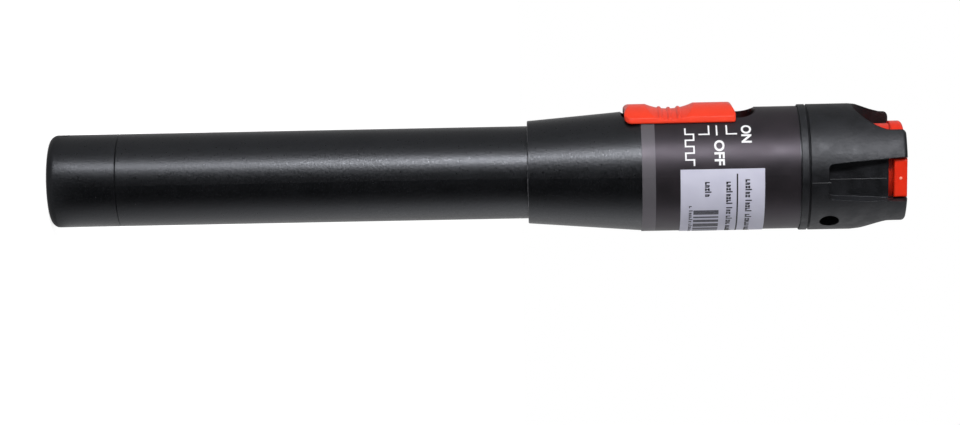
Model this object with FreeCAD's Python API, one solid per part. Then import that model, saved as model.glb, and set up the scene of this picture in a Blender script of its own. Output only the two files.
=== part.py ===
"""Visual fault locator: a pen-shaped red laser source that takes a 2.5 mm fibre ferrule.

Millimetres. The origin is the centre of the tail cap's flat end, +Z runs up the pen to the
laser head, and the thumb slider faces -Y. One STEP file is written for each piece.
"""
import FreeCAD, Part
import math
import os

V = FreeCAD.Vector
UP = V(0, 0, 1)
ALONG_X = V(1, 0, 0)
ALONG_Y = V(0, 1, 0)

# ---------------------------------------------------------------- driving dimensions
# Clearances
SEAT = 0.02                 # pieces assembled once, such as a press or glued seat
FIT = 0.05                  # radial play of a part that turns or slides in a bore
CAP_FIT = 0.08              # dust cap on the port collar
GAP = 0.3                   # free space between pieces that move past each other
OVERCUT = 1.0               # how far a cutting tool runs past the face that it opens

# Cells
CELL_R = 7.25
CELL_LENGTH = 50.5          # with the nub
CELL_COUNT = 2
NUB_R = 2.75
NUB_HEIGHT = 1.0
CELL_EDGE = 0.5
CELL_PLAY = 0.4             # radial play of a cell in the tube

# Tail cap, its screw plug and its spring
TAIL_CAP_LENGTH = 14.2
TAIL_FLOOR = 5.2
TAIL_EDGE = 1.6
PLUG_WALL = 0.95
PLUG_LENGTH = 9.0
SOCKET_WALL = 0.85
LANYARD_HOLE_R = 0.9
LANYARD_HOLE_Z = 3.3
SEAM_CHAMFER = 0.15
RING_WIRE_R = 0.4
RING_GROOVE_DEPTH = 0.5
RING_GROOVE_LENGTH = 1.2
RING_LAND = 0.6             # plug left between the cap's shoulder and the groove
SPRING_HEIGHT = 8.3
SPRING_WIRE_R = 0.4
SPRING_TURNS = 4.5
SPRING_STEPS_PER_TURN = 14
SPRING_BASE_R = 6.3
SPRING_TOP_R = 3.2

# Barrel
BARREL_LAP = 16.25          # stretch of the barrel that laps over the front cell
BARREL_LENGTH = 55.35
BARREL_STEP = 1.05
BARREL_BORE_R = 11.0
BARREL_WALL = 1.4
TAPER_LENGTH = 23.15
SPIGOT_END_GAP = 1.3        # front end of the battery tube, back from the contact
SPIGOT_WALL = 0.9
SHOULDER_AFTER_CONTACT = 2.0
THROAT_STEP = 0.65

# Printed film and label
FILM = 0.15
FILM_END_BAND = 0.2
LABEL = 0.1
LABEL_BELOW_HEAD = 7.5
LABEL_HEIGHT = 17.0
LABEL_FROM = -7.0
LABEL_SWEEP = 134.0

# Thumb slider and its slot
SLOT_HALF = 5.85
SLOT_LENGTH = 27.4
SLOT_CORNER = 3.4
SLOT_AFTER_SHOULDER = 1.0
SLIDER_LENGTH = 22.6
SLIDER_TAIL_GAP = 0.6
SLIDER_TRAVEL = 3.9
SLIDER_TOP_HALF = 6.7
SLIDER_BASE_HALF = 7.4
SLIDER_RIDE = 0.2
CROWN_HEIGHT = 1.02         # tail-side plateau above the film
CROWN_RISE = 0.1            # how much higher the head-side plateau stands
TAIL_PLATEAU_END = 4.0
HEAD_PLATEAU_START = 14.3
SLIDER_TAIL_ROUND = 1.6
SLIDER_HEAD_ROUND = 1.9
SLIDER_TAIL_CORNER = 1.6
SLIDER_HEAD_CORNER = 0.5
SADDLE_AT = 9.25
SADDLE_DEPTH = 0.02         # below the film
SADDLE_CROWN_R = 19.0
SADDLE_ARC_R = 12.0
RIB_PITCH = 1.95
RIB_R = 0.45
RIB_PROUD = 0.32
RIB_COUNT = 3

# Carrier plate and slide switch
CARRIER_OVERLAP = 1.05      # each side, behind the slot's edge
CARRIER_THICK = 1.1
CARRIER_INSET = 1.4
SWITCH_LENGTH = 12.6
SWITCH_WIDTH = 5.6
SWITCH_HEIGHT = 4.2
SWITCH_EDGE = 0.4
LEVER_LENGTH = 2.0
LEVER_WIDTH = 1.8
LEVER_SUNK = 1.2
LEVER_IN_SLIDER = 1.6
TERMINAL_COUNT = 4
TERMINAL_PITCH = 3.0
TERMINAL_ROW_HALF = 1.8
TERMINAL_HALF = 0.25
TERMINAL_PROUD = 0.9

# Circuit board
BOARD_BACK = 0.25           # back face, on the slider's side of the axis
BOARD_THICK = 1.2
BOARD_SIDE_GAP = 0.25
BOARD_END_GAP = 0.4

# Driver chip, chip resistors, choke and ground spring, on the back of the board
CHIP_LENGTH = 4.9
CHIP_WIDTH = 3.9
CHIP_HEIGHT = 1.5
CHIP_STANDOFF = 0.15
CHIP_LEG_COUNT = 4
CHIP_LEG_PITCH = 1.27
CHIP_LEG_WIDTH = 0.4
CHIP_LEG_REACH = 1.05
CHIP_LEG_THICK = 0.2
CHIP_X = 6.2
CHIP_FROM_BOARD_END = 15.0
PASSIVE_WIDTH = 1.25
PASSIVE_LENGTH = 2.0
PASSIVE_HEIGHT = 0.6
PASSIVE_COUNT = 4
PASSIVE_PITCH = 2.4
PASSIVE_X = -6.4
PASSIVE_FROM_BOARD_END = 8.0
COIL_R = 2.4
COIL_HEIGHT = 3.2
COIL_FLANGE = 0.5
COIL_WAIST = 0.6
COIL_FROM_BOARD_END = 7.0
GROUND_THICK = 0.25
GROUND_HALF = 2.0
GROUND_FOOT = 2.6
GROUND_RISE = 2.6
GROUND_FROM_BOARD_START = 5.0

# Battery contact and its holder
HOLDER_THICK = 3.0
HOLDER_FLAT_GAP = 0.3
CONTACT_THICK = 0.4
CONTACT_R = 4.0
CONTACT_TAB_HALF = 1.5
CONTACT_TAB_REACH = 4.0
CONTACT_TAB_THICK = 0.4

# Head
HEAD_TURN = 7.5             # the head sits a few degrees round from the slider, about +Z
HEAD_LENGTH = 21.4
HEAD_R = 12.9
COLLAR_LENGTH = 1.45
COLLAR_GROOVE = 0.5
COLLAR_GROOVE_DEPTH = 0.35
HEAD_STRAIGHT = 10.4        # from the head's lower face to where it starts to narrow
TIP_LENGTH = 4.0
TIP_R = 12.25
TIP_ROUND = 1.0
SPIGOT_LENGTH = 6.7
SPIGOT_SKIRT = 1.5
CORE_DEPTH = 3.7            # the core's lower face, back from the head's lower face
WELL_DEPTH = 11.0
WELL_R = 8.95
WELL_FLOOR = 1.0
MOUTH_DEPTH = 3.8
MOUTH_R = 9.4
WINDOW_R = 7.7
WINDOW_LIFT = 0.6           # lowest point of the arch, above the well's floor
PRONG_STEP = 2.1            # how much shorter the prong away from +X is
POCKET_LENGTH = 16.0
POCKET_FLOOR = 10.2
POCKET_START_HALF = 3.3
POCKET_END_HALF = 4.3
POCKET_START_FLARE = 0.6
POCKET_END_FLARE = 1.6
POCKET_CORNER = 1.0
WING_NOTCH_GAP = 0.3
SCREW_AT = 5.8              # from the head's lower face
SCREW_AROUND = 45.0
SCREW_WELL_R = 2.0
SCREW_WELL_FLOOR = 9.9
SCREW_R = 1.5
SCREW_SOCKET_ACROSS = 1.5
SCREW_SOCKET_DEPTH = 1.5

# Laser and ferrule port
HOLDER_R = 5.0
HOLDER_BACK = 2.0           # how far the laser holder stands out behind the head's core
DIODE_BASE_R = 2.8
DIODE_BASE_THICK = 1.2
DIODE_SEAT_DEPTH = 1.0
DIODE_CAN_R = 1.78
DIODE_CAN_HEIGHT = 2.3
DIODE_LEAD_R = 0.225
DIODE_LEAD_CIRCLE = 1.0
DIODE_LEAD_LENGTH = 5.5
LENS_R = 2.05
LENS_THICK = 2.4
LENS_BULGE = 0.6
LENS_AHEAD = 2.6
LENS_FACE_R = 1.6           # of the bulging face
APERTURE_R = 0.45
NOSE_LENGTH = 1.0
STUB_R = 0.625
STUB_LENGTH = 2.8
FERRULE_R = 1.25            # the 2.5 mm ferrule standard
SLEEVE_WALL = 0.35
SLEEVE_FLOAT = 0.08
SLEEVE_SLIT = 0.4
COLLAR_R = 4.0
PORT_PROUD = 7.6            # port collar above the well's floor
PORT_LIP = 0.8
PORT_LIP_R = 1.45
FLANGE_THICK = 1.6

# Dust cap
CAP_BODY_GAP = 0.3
CAP_FLANGE_GAP = 0.25
CAP_FLANGE_THICK = 2.7
CAP_RIM_ROUND = 0.8
CAP_WING_REACH = 10.4
CAP_WING_HALF = 3.95
CAP_WING_ROUND = 0.35
CAP_FLOOR_GAP = 1.4

# ---------------------------------------------------------------- derived radii
TUBE_BORE_R = CELL_R + CELL_PLAY
PLUG_R = TUBE_BORE_R + PLUG_WALL
SOCKET_R = PLUG_R + FIT
TUBE_R = SOCKET_R + SOCKET_WALL
GROOVE_R = PLUG_R - RING_GROOVE_DEPTH
RING_OUTER_R = GROOVE_R + 2 * RING_WIRE_R + SEAT
MOUTH_OF_TUBE_R = RING_OUTER_R + FIT
TUBE_SPIGOT_R = TUBE_BORE_R + SPIGOT_WALL
THROAT_R = TUBE_SPIGOT_R + SEAT - THROAT_STEP
TAPER_START_R = TUBE_R + BARREL_STEP
BARREL_R = BARREL_BORE_R + BARREL_WALL
FILM_R = BARREL_R + SEAT + FILM
LABEL_R = FILM_R + SEAT + LABEL
SLIDER_UNDER_R = FILM_R + SLIDER_RIDE
CROWN_R = FILM_R + CROWN_HEIGHT
HEAD_CROWN_R = CROWN_R + CROWN_RISE
SADDLE_R = FILM_R - SADDLE_DEPTH
SLEEVE_R = FERRULE_R + SLEEVE_WALL
CHAMBER_R = SLEEVE_R + SLEEVE_FLOAT
NOSE_R = CHAMBER_R - SEAT
CAP_BODY_R = WELL_R - CAP_BODY_GAP
CAP_FLANGE_R = MOUTH_R - CAP_FLANGE_GAP

# ---------------------------------------------------------------- stations along Z
CELLS_START = TAIL_FLOOR + SPRING_HEIGHT
CONTACT_Z = CELLS_START + CELL_COUNT * CELL_LENGTH
TUBE_START = TAIL_CAP_LENGTH
PLUG_END = TUBE_START + PLUG_LENGTH
BARREL_START = CONTACT_Z - BARREL_LAP
BARREL_END = BARREL_START + BARREL_LENGTH
TAPER_END = BARREL_START + TAPER_LENGTH
SPIGOT_END = CONTACT_Z - SPIGOT_END_GAP
SHOULDER_Z = CONTACT_Z + SHOULDER_AFTER_CONTACT
HOLDER_TOP = SHOULDER_Z + HOLDER_THICK
SLOT_START = SHOULDER_Z + SLOT_AFTER_SHOULDER
SLOT_END = SLOT_START + SLOT_LENGTH
SLIDER_START = SLOT_START + SLIDER_TAIL_GAP
SLIDER_END = SLIDER_START + SLIDER_LENGTH
LEVER_Z = SLIDER_START + SLIDER_LENGTH / 2
SWITCH_Z = LEVER_Z + SLIDER_TRAVEL / 2
SWITCH_START = SWITCH_Z - SWITCH_LENGTH / 2
LABEL_Z = BARREL_END - LABEL_BELOW_HEAD - LABEL_HEIGHT
HEAD_START = BARREL_END
HEAD_END = HEAD_START + HEAD_LENGTH
SPIGOT_BOTTOM = HEAD_START - SPIGOT_LENGTH
CORE_BOTTOM = HEAD_START - CORE_DEPTH
WELL_Z = HEAD_END - WELL_DEPTH
MOUTH_Z = HEAD_END - MOUTH_DEPTH
BOARD_START = HOLDER_TOP
BOARD_END = SPIGOT_BOTTOM - BOARD_END_GAP
PORT_START = WELL_Z - WELL_FLOOR - FLANGE_THICK
PORT_END = WELL_Z + PORT_PROUD
LASER_START = CORE_BOTTOM - HOLDER_BACK
DIODE_Z = LASER_START + DIODE_SEAT_DEPTH
DIODE_FACE = DIODE_Z + DIODE_BASE_THICK
LENS_Z = DIODE_FACE + DIODE_CAN_HEIGHT + LENS_AHEAD
STUB_END = PORT_START + NOSE_LENGTH
STUB_Z = STUB_END - STUB_LENGTH
SLEEVE_Z = PORT_START + NOSE_LENGTH + SLEEVE_FLOAT
SLEEVE_END = PORT_END - PORT_LIP - SLEEVE_FLOAT

# ---------------------------------------------------------------- depths behind the slider
SWITCH_BACK = BOARD_BACK + BOARD_THICK
SWITCH_TOP = SWITCH_BACK + SWITCH_HEIGHT
CARRIER_HALF = SLOT_HALF + CARRIER_OVERLAP
CARRIER_FACE = math.sqrt(BARREL_BORE_R ** 2 - CARRIER_HALF ** 2) - GAP
CARRIER_BACK = CARRIER_FACE - CARRIER_THICK
LEVER_TOP = CARRIER_FACE + LEVER_IN_SLIDER
TONGUE_HALF = SLOT_HALF - GAP
HOLDER_FLAT = CARRIER_BACK - HOLDER_FLAT_GAP
BOARD_HALF = math.sqrt(BARREL_BORE_R ** 2 - SWITCH_BACK ** 2) - BOARD_SIDE_GAP


# ---------------------------------------------------------------- helpers
def corner_ends(before, corner, after, radius):
    """Start, middle and end of the arc that rounds one corner."""
    to_before = (before - corner).normalize()
    to_after = (after - corner).normalize()
    half = to_before.getAngle(to_after) / 2
    reach = radius / math.tan(half)
    inward = (to_before + to_after).normalize()
    middle = corner + inward * (radius / math.sin(half) - radius)
    return corner + to_before * reach, middle, corner + to_after * reach


def rounded_face(points, radii=None):
    """Flat face through the points; radii names the corners to round by their index."""
    radii = radii or {}
    count = len(points)
    corners = []
    for i in range(count):
        if i in radii:
            ends = corner_ends(points[i - 1], points[i], points[(i + 1) % count], radii[i])
        else:
            ends = (points[i], None, points[i])
        corners.append(ends)
    edges = []
    for i in range(count):
        start, middle, end = corners[i]
        if middle is not None:
            edges.append(Part.Arc(start, middle, end).toShape())
        next_start = corners[(i + 1) % count][0]
        if end.distanceToPoint(next_start) > 1e-6:
            edges.append(Part.makeLine(end, next_start))
    return Part.Face(Part.Wire(edges))


def turned(profile, radii=None):
    """Solid turned about Z from (radius, z) points."""
    face = rounded_face([V(r, 0, z) for r, z in profile], radii)
    return face.revolve(V(0, 0, 0), UP, 360)


def tube(r_out, r_in, z_from, z_to):
    return turned([(r_in, z_from), (r_out, z_from), (r_out, z_to), (r_in, z_to)])


def rod(radius, z_from, z_to, x=0.0, y=0.0):
    return Part.makeCylinder(radius, z_to - z_from, V(x, y, z_from))


def block(x_from, x_to, y_from, y_to, z_from, z_to):
    return Part.makeBox(x_to - x_from, y_to - y_from, z_to - z_from, V(x_from, y_from, z_from))


def facing_slider(half, z_from, z_to, corner, depth_from, depth_to, head_corner=None):
    """Rounded rectangle on the slider's side, pushed from one depth below the axis to another.

    All four corners are alike unless head_corner gives the two at the head's end their own."""
    points = [V(-half, 0, z_from), V(half, 0, z_from), V(half, 0, z_to), V(-half, 0, z_to)]
    far_corner = corner if head_corner is None else head_corner
    face = rounded_face(points, {0: corner, 1: corner, 2: far_corner, 3: far_corner})
    face.translate(V(0, -depth_from, 0))
    return face.extrude(V(0, depth_from - depth_to, 0))


def octagon(radius):
    """Corners of an octagon that stands in for a wire's round section."""
    turns = [math.radians(45 * (i + 0.5)) for i in range(8)]
    return [(radius * math.cos(turn), radius * math.sin(turn)) for turn in turns]


def around(shape, degrees):
    shape.rotate(V(0, 0, 0), UP, degrees)
    return shape


# ---------------------------------------------------------------- tail end
def make_tail_cap():
    groove_start = TUBE_START + RING_LAND
    groove_end = groove_start + RING_GROOVE_LENGTH
    body = turned([
        (0, 0), (TUBE_R, 0),
        (TUBE_R, TUBE_START - SEAM_CHAMFER), (TUBE_R - SEAM_CHAMFER, TUBE_START),
        (PLUG_R, TUBE_START), (PLUG_R, groove_start),
        (GROOVE_R, groove_start), (GROOVE_R, groove_end),
        (PLUG_R, groove_end), (PLUG_R, PLUG_END),
        (TUBE_BORE_R, PLUG_END), (TUBE_BORE_R, TAIL_FLOOR), (0, TAIL_FLOOR)],
        {1: TAIL_EDGE})
    start = V(0, -TUBE_R - OVERCUT, LANYARD_HOLE_Z)
    hole = Part.makeCylinder(LANYARD_HOLE_R, 2 * (TUBE_R + OVERCUT), start, ALONG_Y)
    return body.cut(hole)


def make_tail_ring():
    """Its round section is drawn as an octagon."""
    middle_r = GROOVE_R + SEAT + RING_WIRE_R
    middle_z = TUBE_START + RING_LAND + RING_GROOVE_LENGTH / 2
    return turned([(middle_r + r, middle_z + z) for r, z in octagon(RING_WIRE_R)])


def make_tail_spring():
    """Conical spring: its wide coil stands on the cap's floor, its narrow one meets the cell.

    Each turn is drawn as straight lengths of wire, with their ends on the spring's helix."""
    lift = SPRING_WIRE_R + SEAT
    height = SPRING_HEIGHT - 2 * lift
    steps = round(SPRING_TURNS * SPRING_STEPS_PER_TURN)
    sections = []
    for i in range(steps + 1):
        share = i / steps
        turn = 2 * math.pi * SPRING_TURNS * share
        middle = SPRING_BASE_R + (SPRING_TOP_R - SPRING_BASE_R) * share
        z = TAIL_FLOOR + lift + height * share
        corners = []
        for across, up in octagon(SPRING_WIRE_R):
            r = middle + across
            corners.append(V(r * math.cos(turn), r * math.sin(turn), z + up))
        sections.append(Part.makePolygon(corners + corners[:1]))
    return Part.makeLoft(sections, True, True)


def make_cell(index):
    """Sealed AA cell: its can and its nub have bevelled edges."""
    start = CELLS_START + index * CELL_LENGTH
    end = start + CELL_LENGTH
    return turned([
        (0, start), (CELL_R - CELL_EDGE, start), (CELL_R, start + CELL_EDGE),
        (CELL_R, end - NUB_HEIGHT - CELL_EDGE), (CELL_R - CELL_EDGE, end - NUB_HEIGHT),
        (NUB_R, end - NUB_HEIGHT), (NUB_R, end), (0, end)])


def make_battery_tube():
    ring_end = TUBE_START + RING_LAND + RING_GROOVE_LENGTH + RING_LAND
    socket_end = PLUG_END + GAP
    return turned([
        (MOUTH_OF_TUBE_R, TUBE_START), (TUBE_R - SEAM_CHAMFER, TUBE_START),
        (TUBE_R, TUBE_START + SEAM_CHAMFER), (TUBE_R, BARREL_START),
        (TUBE_SPIGOT_R, BARREL_START), (TUBE_SPIGOT_R, SPIGOT_END),
        (TUBE_BORE_R, SPIGOT_END), (TUBE_BORE_R, socket_end),
        (SOCKET_R, socket_end), (SOCKET_R, ring_end), (MOUTH_OF_TUBE_R, ring_end)])


# ---------------------------------------------------------------- barrel and its skins
def slot_tool(extra=0.0):
    return facing_slider(SLOT_HALF + extra, SLOT_START - extra, SLOT_END + extra, SLOT_CORNER,
                         HOLDER_R, LABEL_R + CROWN_HEIGHT)


def make_front_barrel():
    spigot_seat = TUBE_SPIGOT_R + SEAT
    body = turned([
        (spigot_seat, BARREL_START), (TAPER_START_R - SEAM_CHAMFER, BARREL_START),
        (TAPER_START_R, BARREL_START + SEAM_CHAMFER), (BARREL_R, TAPER_END),
        (BARREL_R, BARREL_END), (BARREL_BORE_R, BARREL_END),
        (BARREL_BORE_R, SHOULDER_Z), (THROAT_R, SHOULDER_Z),
        (THROAT_R, SPIGOT_END + GAP), (spigot_seat, SPIGOT_END + GAP)])
    return body.cut(slot_tool())


def make_printed_wrap():
    sleeve = tube(FILM_R, BARREL_R + SEAT, TAPER_END, BARREL_END - FILM_END_BAND)
    return sleeve.cut(slot_tool())


def make_label():
    label_in = FILM_R + SEAT
    corners = [V(label_in, 0, LABEL_Z), V(LABEL_R, 0, LABEL_Z),
               V(LABEL_R, 0, LABEL_Z + LABEL_HEIGHT), V(label_in, 0, LABEL_Z + LABEL_HEIGHT)]
    sheet = rounded_face(corners).revolve(V(0, 0, 0), UP, LABEL_SWEEP)
    return around(sheet, LABEL_FROM)


# ---------------------------------------------------------------- slider and switch
def slider_blank():
    """The crown before the thumb hollow: turned about Z, then trimmed to its three outlines."""
    start, end = SLIDER_START, SLIDER_END
    plateaus_meet = start + (TAIL_PLATEAU_END + HEAD_PLATEAU_START) / 2
    crown = turned([
        (SLIDER_UNDER_R, start), (CROWN_R, start), (CROWN_R, plateaus_meet),
        (HEAD_CROWN_R, start + HEAD_PLATEAU_START), (HEAD_CROWN_R, end), (SLIDER_UNDER_R, end)])
    base_y = -math.sqrt(SLIDER_UNDER_R ** 2 - SLIDER_BASE_HALF ** 2)
    top_y = -HEAD_CROWN_R
    across = rounded_face([
        V(-SLIDER_BASE_HALF, base_y + OVERCUT, start), V(SLIDER_BASE_HALF, base_y + OVERCUT, start),
        V(SLIDER_BASE_HALF, base_y, start), V(SLIDER_TOP_HALF, top_y - OVERCUT, start),
        V(-SLIDER_TOP_HALF, top_y - OVERCUT, start), V(-SLIDER_BASE_HALF, base_y, start)])
    along = facing_slider(SLIDER_BASE_HALF, start, end, SLIDER_TAIL_CORNER,
                          0, HEAD_CROWN_R + OVERCUT, SLIDER_HEAD_CORNER)
    side = rounded_face([
        V(-SLIDER_BASE_HALF, 0, start), V(-SLIDER_BASE_HALF, -CROWN_R, start),
        V(-SLIDER_BASE_HALF, -CROWN_R, plateaus_meet),
        V(-SLIDER_BASE_HALF, -HEAD_CROWN_R, start + HEAD_PLATEAU_START),
        V(-SLIDER_BASE_HALF, -HEAD_CROWN_R, end), V(-SLIDER_BASE_HALF, 0, end)],
        {1: SLIDER_TAIL_ROUND, 4: SLIDER_HEAD_ROUND})
    outline = crown.common(across.extrude(V(0, 0, SLIDER_LENGTH))).common(along)
    return outline.common(side.extrude(V(2 * SLIDER_BASE_HALF, 0, 0)))


def ring_over_saddle(middle_r, section_r, z):
    """Ring of round section about the hollow's own axis, which runs beside the pen's."""
    return Part.makeTorus(middle_r, section_r, V(0, SADDLE_CROWN_R - SADDLE_R, z), UP)


def add_thumb_hollow(body):
    """Scoops the hollow out with a ring and leaves the cross ribs standing on its floor."""
    saddle_z = SLIDER_START + SADDLE_AT
    middle_r = SADDLE_CROWN_R + SADDLE_ARC_R
    ribs = []
    for i in range(RIB_COUNT):
        offset = (i - (RIB_COUNT - 1) / 2) * RIB_PITCH
        floor = middle_r - math.sqrt(SADDLE_ARC_R ** 2 - offset ** 2)
        ribs.append(body.common(ring_over_saddle(floor + RIB_PROUD - RIB_R, RIB_R,
                                                 saddle_z + offset)))
    return body.cut(ring_over_saddle(middle_r, SADDLE_ARC_R, saddle_z)).fuse(ribs)


def make_thumb_slider():
    """Crown that rides over the slot, with the tongue that runs in it."""
    tongue = facing_slider(TONGUE_HALF, SLIDER_START + GAP, SLIDER_END - GAP,
                           SLOT_CORNER - GAP, CARRIER_FACE, SLIDER_UNDER_R + OVERCUT)
    tongue = tongue.common(rod(SLIDER_UNDER_R + SEAT, SLIDER_START, SLIDER_END))
    body = add_thumb_hollow(slider_blank().fuse(tongue))
    lever_pocket = block(-LEVER_WIDTH / 2, LEVER_WIDTH / 2, -LEVER_TOP, 0,
                         LEVER_Z - LEVER_LENGTH / 2, LEVER_Z + LEVER_LENGTH / 2)
    return body.cut(lever_pocket).removeSplitter()


def make_slider_carrier():
    plate = facing_slider(CARRIER_HALF, SLIDER_START + CARRIER_INSET, SLIDER_END - CARRIER_INSET,
                          SLOT_CORNER, CARRIER_BACK, CARRIER_FACE)
    window = block(-LEVER_WIDTH / 2 - SEAT, LEVER_WIDTH / 2 + SEAT, -CARRIER_FACE - OVERCUT, 0,
                   LEVER_Z - LEVER_LENGTH / 2 - SEAT, LEVER_Z + LEVER_LENGTH / 2 + SEAT)
    return plate.cut(window)


def make_switch_lever():
    return block(-LEVER_WIDTH / 2, LEVER_WIDTH / 2, -LEVER_TOP, -SWITCH_TOP + LEVER_SUNK,
                 LEVER_Z - LEVER_LENGTH / 2, LEVER_Z + LEVER_LENGTH / 2)


def make_slide_switch():
    body = facing_slider(SWITCH_WIDTH / 2, SWITCH_START, SWITCH_START + SWITCH_LENGTH,
                         SWITCH_EDGE, SWITCH_BACK, SWITCH_TOP)
    run = (SLIDER_TRAVEL + LEVER_LENGTH) / 2 + GAP
    window = block(-LEVER_WIDTH / 2 - GAP, LEVER_WIDTH / 2 + GAP,
                   -SWITCH_TOP - OVERCUT, -SWITCH_TOP + LEVER_SUNK + GAP,
                   SWITCH_Z - run, SWITCH_Z + run)
    return body.cut(window)


def terminal_places():
    first = SWITCH_Z - (TERMINAL_COUNT - 1) * TERMINAL_PITCH / 2
    places = []
    for side in (-1, 1):
        for i in range(TERMINAL_COUNT):
            places.append((side * TERMINAL_ROW_HALF, first + i * TERMINAL_PITCH))
    return places


def across_board(half, x, z, depth_from, depth_to):
    """Square pin, or the hole for one, through the board."""
    return block(x - half, x + half, -depth_to, -depth_from, z - half, z + half)


def make_switch_terminals():
    start = BOARD_BACK - TERMINAL_PROUD
    return Part.makeCompound([
        across_board(TERMINAL_HALF, x, z, start, SWITCH_BACK) for x, z in terminal_places()])


# ---------------------------------------------------------------- circuit board
def make_circuit_board():
    board = block(-BOARD_HALF, BOARD_HALF, -SWITCH_BACK, -BOARD_BACK, BOARD_START, BOARD_END)
    for x, z in terminal_places():
        hole = across_board(TERMINAL_HALF + FIT, x, z, BOARD_BACK - OVERCUT, SWITCH_BACK + OVERCUT)
        board = board.cut(hole)
    return board


def make_driver_chip():
    """Eight-legged driver on the back of the board."""
    face = -BOARD_BACK
    middle = BOARD_END - CHIP_FROM_BOARD_END
    chip = block(CHIP_X - CHIP_WIDTH / 2, CHIP_X + CHIP_WIDTH / 2,
                 face + CHIP_STANDOFF, face + CHIP_STANDOFF + CHIP_HEIGHT,
                 middle - CHIP_LENGTH / 2, middle + CHIP_LENGTH / 2)
    knee = face + CHIP_STANDOFF + CHIP_HEIGHT / 2
    for side in (-1, 1):
        for i in range(CHIP_LEG_COUNT):
            z = middle + (i - (CHIP_LEG_COUNT - 1) / 2) * CHIP_LEG_PITCH
            root = CHIP_X + side * (CHIP_WIDTH / 2 - CHIP_LEG_THICK)
            bend = CHIP_X + side * (CHIP_WIDTH / 2 + CHIP_LEG_REACH / 2)
            toe = CHIP_X + side * (CHIP_WIDTH / 2 + CHIP_LEG_REACH)
            half = CHIP_LEG_WIDTH / 2
            thick = CHIP_LEG_THICK
            arm = block(min(root, bend), max(root, bend), knee, knee + thick, z - half, z + half)
            drop_from = bend - side * thick
            drop = block(min(drop_from, bend), max(drop_from, bend), face, knee + thick,
                         z - half, z + half)
            foot = block(min(drop_from, toe), max(drop_from, toe), face, face + thick,
                         z - half, z + half)
            chip = chip.fuse([arm, drop, foot])
    return chip.removeSplitter()


def make_board_passives():
    """Row of chip resistors and capacitors on the back of the board."""
    first = BOARD_END - PASSIVE_FROM_BOARD_END
    row = []
    for i in range(PASSIVE_COUNT):
        z = first - i * PASSIVE_PITCH
        row.append(block(PASSIVE_X - PASSIVE_LENGTH / 2, PASSIVE_X + PASSIVE_LENGTH / 2,
                         -BOARD_BACK, -BOARD_BACK + PASSIVE_HEIGHT,
                         z - PASSIVE_WIDTH / 2, z + PASSIVE_WIDTH / 2))
    return Part.makeCompound(row)


def make_choke():
    """Drum choke of the laser driver, standing on the back of the board."""
    waist = COIL_R - COIL_WAIST
    drum = turned([(0, 0), (COIL_R, 0), (COIL_R, COIL_FLANGE), (waist, COIL_FLANGE),
                   (waist, COIL_HEIGHT - COIL_FLANGE), (COIL_R, COIL_HEIGHT - COIL_FLANGE),
                   (COIL_R, COIL_HEIGHT), (0, COIL_HEIGHT)])
    drum.rotate(V(0, 0, 0), ALONG_X, -90)
    drum.translate(V(CHIP_X, -BOARD_BACK, BOARD_END - COIL_FROM_BOARD_END))
    return drum


def make_ground_spring():
    """Strip that takes the battery return from the metal barrel to the board's edge."""
    face = -BOARD_BACK
    z = BOARD_START + GROUND_FROM_BOARD_START - GROUND_HALF
    heel = BOARD_HALF - GROUND_THICK
    touch_y = face + GROUND_RISE
    touch = math.sqrt(BARREL_BORE_R ** 2 - touch_y ** 2) - SEAT
    strip = rounded_face([
        V(GROUND_FOOT - heel, face, z), V(-heel, face, z), V(-touch, touch_y, z),
        V(GROUND_THICK - touch, touch_y, z), V(GROUND_THICK - heel, face + GROUND_THICK, z),
        V(GROUND_FOOT - heel, face + GROUND_THICK, z)])
    return strip.extrude(V(0, 0, 2 * GROUND_HALF))


# ---------------------------------------------------------------- battery contact
def tab_slot(play):
    """Where the contact's tab runs up to the back face of the board."""
    return block(-CONTACT_TAB_HALF - play, CONTACT_TAB_HALF + play,
                 -BOARD_BACK - play, -BOARD_BACK + CONTACT_TAB_THICK + play,
                 CONTACT_Z, BOARD_START + CONTACT_TAB_REACH)


def make_positive_contact():
    plate = rod(CONTACT_R, CONTACT_Z, CONTACT_Z + CONTACT_THICK)
    return plate.fuse(tab_slot(0)).removeSplitter()


def make_contact_holder():
    disc = rod(BARREL_BORE_R - FIT, SHOULDER_Z, HOLDER_TOP)
    boss = rod(THROAT_R - FIT, CONTACT_Z + CONTACT_THICK, SHOULDER_Z)
    flat = block(-BARREL_BORE_R, BARREL_BORE_R, -BARREL_BORE_R, -HOLDER_FLAT,
                 CONTACT_Z, HOLDER_TOP + OVERCUT)
    return disc.fuse(boss).cut(flat).cut(tab_slot(SEAT)).removeSplitter()


# ---------------------------------------------------------------- laser and port
def make_laser_holder():
    can_bore = DIODE_CAN_R + GAP
    lens_seat = LENS_R + SEAT
    lens_top = LENS_Z + LENS_THICK
    stub_seat = STUB_R + SEAT
    return turned([
        (DIODE_BASE_R + SEAT, LASER_START), (HOLDER_R, LASER_START),
        (HOLDER_R, PORT_START), (NOSE_R, PORT_START),
        (NOSE_R, PORT_START + NOSE_LENGTH), (stub_seat, PORT_START + NOSE_LENGTH),
        (stub_seat, STUB_Z), (APERTURE_R, STUB_Z), (APERTURE_R, lens_top),
        (lens_seat, lens_top), (lens_seat, DIODE_FACE + DIODE_CAN_HEIGHT + GAP),
        (can_bore, DIODE_FACE + DIODE_CAN_HEIGHT + GAP), (can_bore, DIODE_FACE),
        (DIODE_BASE_R + SEAT, DIODE_FACE)])


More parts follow.
